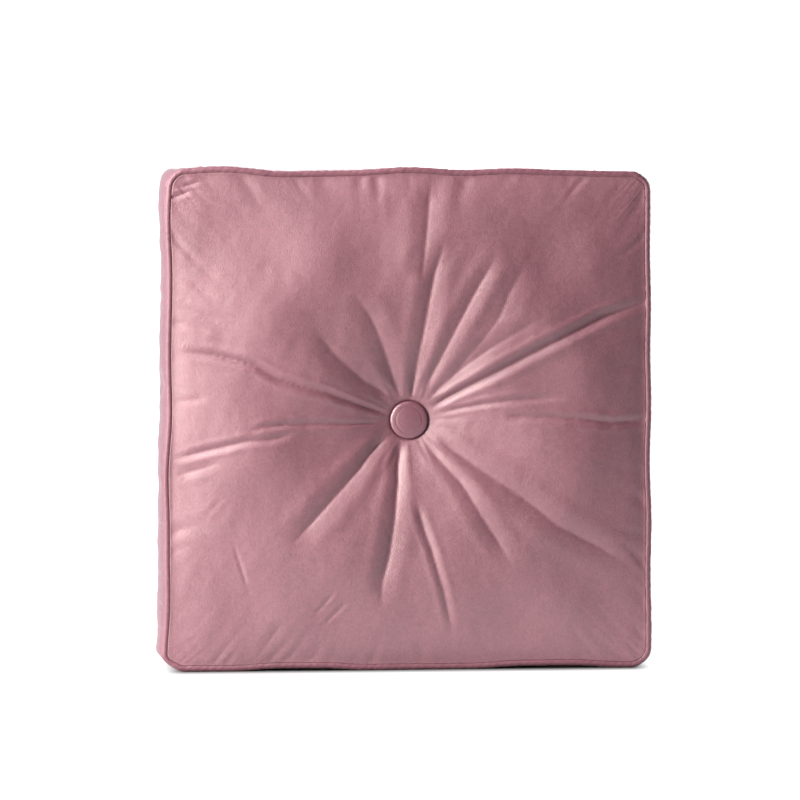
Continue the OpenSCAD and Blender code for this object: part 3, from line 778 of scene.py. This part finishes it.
def makeCoil(name, side, node):
    # One nylon wire wound as a flattened helix, its heads just short of the slit.
    low, high = boxOf(node)
    wire = zipper["wire"]
    turns = round((high[2] - low[2] - 2 * wire) / zipper["pitch"])
    phase = np.linspace(0, 2 * np.pi * turns, turns * 12 + 1) + (math.pi if side < 0 else 0)
    middle, reach = (low + high) / 2, (high - low) / 2 - wire
    x = middle[0] + reach[0] * np.sin(phase)
    y = middle[1] + reach[1] * np.cos(phase)
    z = np.linspace(low[2] + wire, high[2] - wire, len(phase))
    ring = tubeAlong(np.stack([x, y, z], -1), wire, 6)
    cap = [np.broadcast_to(ring[[end]].mean(1)[:, None], (1, 6, 3)) for end in (0, -1)]
    ring = np.concatenate([cap[0], ring, cap[1]])
    coil = addPiece(name, ring, gridQuads(*ring.shape[:2], loopColumns=True))
    closeUp(coil)
    place(coil, zipNylon, "cushion_body", "zip_nylon", node)


def makeStitches(name, side):
    # short rounded stitches in a row beside each fold of the zip's opening
    step = zipper["stitchPitch"]
    z = np.arange(zipLow + 3 * mm, zipHigh - 3 * mm, step)
    chance = np.random.RandomState(70 + side)
    around = np.linspace(0, 2 * np.pi, 6, endpoint=False)
    along, around = np.meshgrid(np.linspace(0, np.pi, 7), around, indexing="ij")
    thick, broad = zipper["thread"]
    shape = np.stack([thick * np.sin(along) * np.cos(around), broad * np.sin(along) * np.sin(around),
                      -zipper["stitch"] / 2 * np.cos(along)], -1)
    lean = chance.uniform(-0.03, 0.03, len(z))
    y = -side * (zipFold + zipper["fromFold"]) * np.ones(len(z))
    share = (z + straightZ) / roundIt + outlineMarks[2]
    level = (zipper["fromFold"] - boxing["foldRadius"]) / zipFlat
    x = halfWide + zipHeight(share, level * np.ones(len(z)), side)
    centres = np.stack([x + 0.08 * mm, y, z + halfTall], -1)
    points = shape[None] + centres[:, None, None]
    points[..., 1] += lean[:, None, None] * shape[None, ..., 2]
    quads = gridQuads(7, 6, loopColumns=True)
    faces = (quads[None] + along.size * np.arange(len(z))[:, None, None]).reshape(-1, 4)
    stitches = addPiece(name, points, faces)
    closeUp(stitches)
    place(stitches, thread, "cushion_body", "velvet_trim")


button = {
    "rim": 2.6 * mm,             # radius of the rounded rim
    "dome": 1.4 * mm,            # rise of the top over the rim
    "ringAt": 0.80, "ringDeep": 0.16 * mm,
    "underside": 0.15 * mm,      # how far its underside is off the panel's seat
}


def makeButton(name, side, node):
    # A flat dome turned about its middle: under the rim, round it, and in over the top, which has a ring
    # pressed in it. The cloth gathers in 22 small pleats round the rim.
    rim = button["rim"]
    seat = np.array([0, buttonRadius * 0.5, buttonRadius - rim * 0.7])
    under = np.stack([seat, np.full(3, button["underside"])], -1)
    turn = np.linspace(-math.pi * 0.42, math.pi * 0.46, 16)
    edgeRise = buttonRise - button["dome"] - rim
    edge = np.stack([buttonRadius - rim + rim * np.cos(turn), edgeRise + rim * np.sin(turn)], -1)
    start, top = edge[-1]
    inward = np.linspace(start, 0, 34)[1:]
    share = inward / start
    rise = top + button["dome"] * (1 - share ** 2)
    rise = rise - button["ringDeep"] * np.exp(-((share - button["ringAt"]) / 0.05) ** 2)
    profile = np.concatenate([under, edge, np.stack([inward, rise], -1)])
    around = np.linspace(0, 2 * np.pi, 128, endpoint=False)[:, None]
    radius, lift = profile[:, 0][None, :], profile[:, 1][None, :]
    level = np.linspace(0, 1, len(profile))[None, :]
    gathers = np.exp(-((level - 0.12) / 0.12) ** 2)
    pleats = 0.006 * gathers * np.sin(around * 22 + np.sin(around * 3))
    radius = radius * (1 + pleats + 0.004 * np.cos(2 * around + 1))
    lift = lift + 0.08 * mm * np.sin(around * 3 + 1.3) * radius / buttonRadius
    points = np.stack([radius * np.cos(around), -side * (seatDepth + lift),
                       radius * np.sin(around) + halfTall], -1)
    piece = addPiece(name, points, gridQuads(*points.shape[:2], loopRows=True))
    closeUp(piece)
    place(piece, velvetButton, "cushion_body", "velvet_trim", node)


pad = {
    "rings": 44, "around": 260, "side": 10,
    "inset": 2.4 * mm,           # from the cover's wall to the liner
    "waist": 29.5 * mm,          # half the depth of its side
    "thin": 0.6 * mm,            # thickness of the calico
    "fibreInset": 1.2 * mm,      # from the liner's outside to the filling
    "zipRoom": 5 * mm,           # how far it is pressed in behind the zip
    "zipHalf": 17 * mm,          # half the width of that
}


def makePad():
    # The filled liner: each face is the crown and hollow without folds, set in, and the side joins them.
    share = np.linspace(0, 1, pad["around"], endpoint=False)[None, :]
    cx, cz, nx, nz = outline(share)
    corner = cushion["cornerRadius"] - pad["inset"]
    x0, z0 = cx + corner * nx, cz + corner * nz

    def half(inset, waist):
        ring = np.linspace(0, 1, pad["rings"])[:, None] ** 0.8
        x, z = ring * (x0 - inset * nx), ring * (z0 - inset * nz)
        s, t = x / halfWide, z / halfTall
        height = crownHeight(s, t, np.hypot(x, z), front) - seamDepth
        lift = waist + height * 0.86 - inset
        inner = ramp(1 - ring, -0.001, 0.03)
        lift = lift * inner + (waist - inset) * (1 - inner)
        return x, lift, z

    def shell(inset, side):
        x, lift, z = half(inset, pad["waist"])
        down = np.linspace(1, 0, pad["side"])[1:, None]
        x = np.concatenate([x, np.broadcast_to(x[-1], (len(down), x.shape[1]))])
        z = np.concatenate([z, np.broadcast_to(z[-1], (len(down), z.shape[1]))])
        lift = np.concatenate([lift, lift[-1] * down])
        zipped = ramp(x, halfWide - 7 * mm, halfWide - 3 * mm) * (lift < pad["zipHalf"])
        x = x - pad["zipRoom"] * zipped
        return np.stack([x, -side * lift, z + halfTall], -1)

    for side, name, node in ((1, "linerFront", "liner_front"), (-1, "linerBack", "liner_back")):
        points = shell(0.0, side)
        quads = gridQuads(*points.shape[:2], loopColumns=True)
        if side < 0:
            quads = quads[:, ::-1]
        liner = addPiece(name, points, quads)
        closeUp(liner, turnOut=False)
        thicken(liner, pad["thin"])
        place(liner, calico, "cushion_body", "calico", node)
    upper, lower = shell(pad["fibreInset"], 1), shell(pad["fibreInset"], -1)
    points = np.concatenate([upper, lower[::-1]])
    filling = addPiece("filling", points, gridQuads(*points.shape[:2], loopColumns=True))
    closeUp(filling)
    place(filling, fibre, "cushion_body", "fibre", "fibre_filling")


makePanel("frontPanel", front, 1, velvetFace, "front_panel")
makePanel("backPanel", back, -1, velvetFace, "back_panel")
makePiping("pipingFront", "pipingCordFront", 1, velvetTrim)
makePiping("pipingBack", "pipingCordBack", -1, velvetTrim)
print("panels and piping made")
makeBoxing()
makeZipStrip("zipStripFront", 1, "zip_boxing_front")
makeZipStrip("zipStripBack", -1, "zip_boxing_back")
makeStitches("stitchesFront", 1)
makeStitches("stitchesBack", -1)
makeCoil("coilFront", 1, "zip_coil_front")
makeCoil("coilBack", -1, "zip_coil_back")
makeButton("buttonFront", 1, "front_button_velvet")
makeButton("buttonBack", -1, "back_button_velvet")
makePad()
print("boxing, buttons and pad made")

nodeFinishes = {
    "front_button_cap": tinned, "front_button_back": tinned, "front_button_shank": tinned,
    "back_button_cap": tinned, "back_button_back": tinned, "back_button_shank": tinned,
    "tufting_twine": cottonCord, "zip_tape_front": tapeCloth, "zip_tape_back": tapeCloth,
    "zip_end_stops": zipEnamel, "zip_open_stop": zipEnamel,
    "zip_slider": zipEnamel, "zip_bail": zipEnamel, "zip_pull": zipEnamel,
}
for node, finish in nodeFinishes.items():
    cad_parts[node].data.materials.clear()
    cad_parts[node].data.materials.append(finish)


studio = {
    "azimuth": -4.0, "elevation": 2.4, "distance": 2.4, "frameWide": 0.729,
    "aimLeft": 5.9 * mm, "aimUp": 16.7 * mm,
    "world": 0.12,               # how strongly the surroundings light the cushion
    "bend": 0.8, "wallAt": 2.6,  # radius of the sweep's bend, and where its wall stands
    "footHalf": (200 * mm, 36 * mm),      # half the size of what rests on the floor
    "paintedShadowReach": 26 * mm,      # how far the painted contact shadow spreads, where the paper's painted glow is taken away
    "key": {"at": (-1.9, -1.0, 0.82), "size": (0.8, 1.6), "power": 114, "colour": (1.0, 0.965, 0.89)},
    "top": {"at": (-1.0, -0.35, 1.5), "size": (0.8, 0.8), "power": 30, "colour": (1, 1, 1)},
    "zipSide": {"at": (1.9, 0.9, 0.9), "size": (1.0, 1.0), "power": 45, "colour": (1, 1, 1)},
    "backSide": {"at": (0.7, 2.1, 1.4), "size": (1.0, 1.0), "power": 58, "colour": (1, 1, 1)},
    "backdrop": {"at": (0.0, 1.4, 1.6), "size": (2.2, 2.2), "power": 40, "colour": (1, 1, 1)},
}


def addLight(name, at, size, power, colour, aim=(0, 0, 0.2)):
    light = bpy.data.lights.new(name, "AREA")
    light.shape, light.energy, light.color = "RECTANGLE", power, colour
    light.size, light.size_y = size
    lamp = bpy.data.objects.new(name, light)
    lamp.location = at
    lamp.rotation_euler = (Vector(aim) - Vector(at)).to_track_quat("-Z", "Y").to_euler()
    bpy.context.scene.collection.objects.link(lamp)


def makeStage():
    # A floor that sweeps up into a wall behind: straight, a quarter circle, straight.
    bend, wallAt = studio["bend"], studio["wallAt"]
    turn = np.linspace(0, math.pi / 2, 24)[1:]
    y = np.concatenate([np.linspace(-5, wallAt - bend, 12), wallAt - bend + bend * np.sin(turn),
                        [wallAt, wallAt]])
    z = np.concatenate([np.zeros(12), bend - bend * np.cos(turn), [2.5, 4.0]])
    x = np.linspace(-6, 6, 13)[:, None]
    grid = np.stack(np.broadcast_arrays(x, y, z), -1)
    sweep = addPiece("studioSweep", grid, gridQuads(13, len(y)))
    paper = Finish("studio paper", Roughness=0.9, Specular_IOR_Level=0.1)
    where = paper.where()
    tooth = paper.noise(where, 0.02, 2, 0.5)
    paper.feed("Base Color", paper.blendColour(tooth, (0.14, 0.14, 0.145, 1), (0.16, 0.16, 0.165, 1)))
    # The paper's own colour is a dark grey, and its white is painted light, a glow that is no lamp: the
    # camera sees it glowing everywhere, but as light on the cushion it fades to a tenth far in front of it.
    # It doesn't glow under and round the cushion's foot, which paints a contact shadow there.
    x, y = paper.apart(where)[:2]

    def beyond(value, edge):
        # how far a place is past an edge, on either side of the middle
        size = paper.node("ShaderNodeMath", {"operation": "ABSOLUTE"}, {0: value})
        return paper.node("ShaderNodeMath", {"operation": "MAXIMUM"}, {0: size - edge, 1: 0.0})

    wideFoot, deepFoot = studio["footHalf"]
    away = (beyond(x, wideFoot) ** 2.0 + beyond(y, deepFoot) ** 2.0) ** 0.5
    smooth = {"interpolation_type": "SMOOTHSTEP"}
    # painted contact shadow: no glow on the paper under the foot, rising to the full glow at the reach
    near = paper.node("ShaderNodeMapRange", smooth, {0: away, 1: 0.0, 2: studio["paintedShadowReach"]})
    seen = paper.node("ShaderNodeLightPath")
    ahead = paper.node("ShaderNodeMapRange", smooth, {0: y, 1: -0.8, 2: -0.1, 3: 0.1, 4: 1.0})
    # the painted glow: none in the painted contact shadow, full to the camera elsewhere, and faded far in
    # front as light
    paintedGlow = near * paper.node("ShaderNodeMath", {"operation": "MAXIMUM"}, {0: ahead, 1: seen})
    paper.feed("Emission Color", paper.blendColour(paintedGlow, (0, 0, 0, 1), (1, 0.99, 1, 1)))
    paper.surface.inputs["Emission Strength"].default_value = 0.93
    sweep.data.materials.append(paper.material)


makeStage()
for lampName in ("key", "top", "zipSide", "backSide"):
    addLight(lampName, **studio[lampName])
addLight("backdrop", aim=(0, 2.6, 0.8), **studio["backdrop"])
world = bpy.data.worlds.new("studio")
bpy.context.scene.world = world
world.use_nodes = True
sky = world.node_tree.nodes["Background"]
sky.inputs["Color"].default_value = (1, 1, 1, 1)
lightPath = world.node_tree.nodes.new("ShaderNodeLightPath")
strength = world.node_tree.nodes.new("ShaderNodeMapRange")      # white where seen, dimmer as a light
strength.inputs[3].default_value, strength.inputs[4].default_value = studio["world"], 0.98
world.node_tree.links.new(lightPath.outputs["Is Camera Ray"], strength.inputs[0])
world.node_tree.links.new(strength.outputs[0], sky.inputs["Strength"])
bpy.context.scene.view_settings.view_transform = "Standard"

camera = bpy.data.cameras.new("camera")
camera.sensor_width = 36
camera.lens = 36 * studio["distance"] / studio["frameWide"]
cameraObject = bpy.data.objects.new("camera", camera)
bpy.context.scene.collection.objects.link(cameraObject)
azimuth, elevation = math.radians(studio["azimuth"]), math.radians(studio["elevation"])
backward = Vector((math.sin(azimuth) * math.cos(elevation), -math.cos(azimuth) * math.cos(elevation),
                   math.sin(elevation)))
target = Vector((-studio["aimLeft"], 0, halfTall + studio["aimUp"]))
cameraObject.location = target + backward * studio["distance"]
cameraObject.rotation_euler = (-backward).to_track_quat("-Z", "Y").to_euler()
bpy.context.scene.camera = cameraObject
print("studio made")
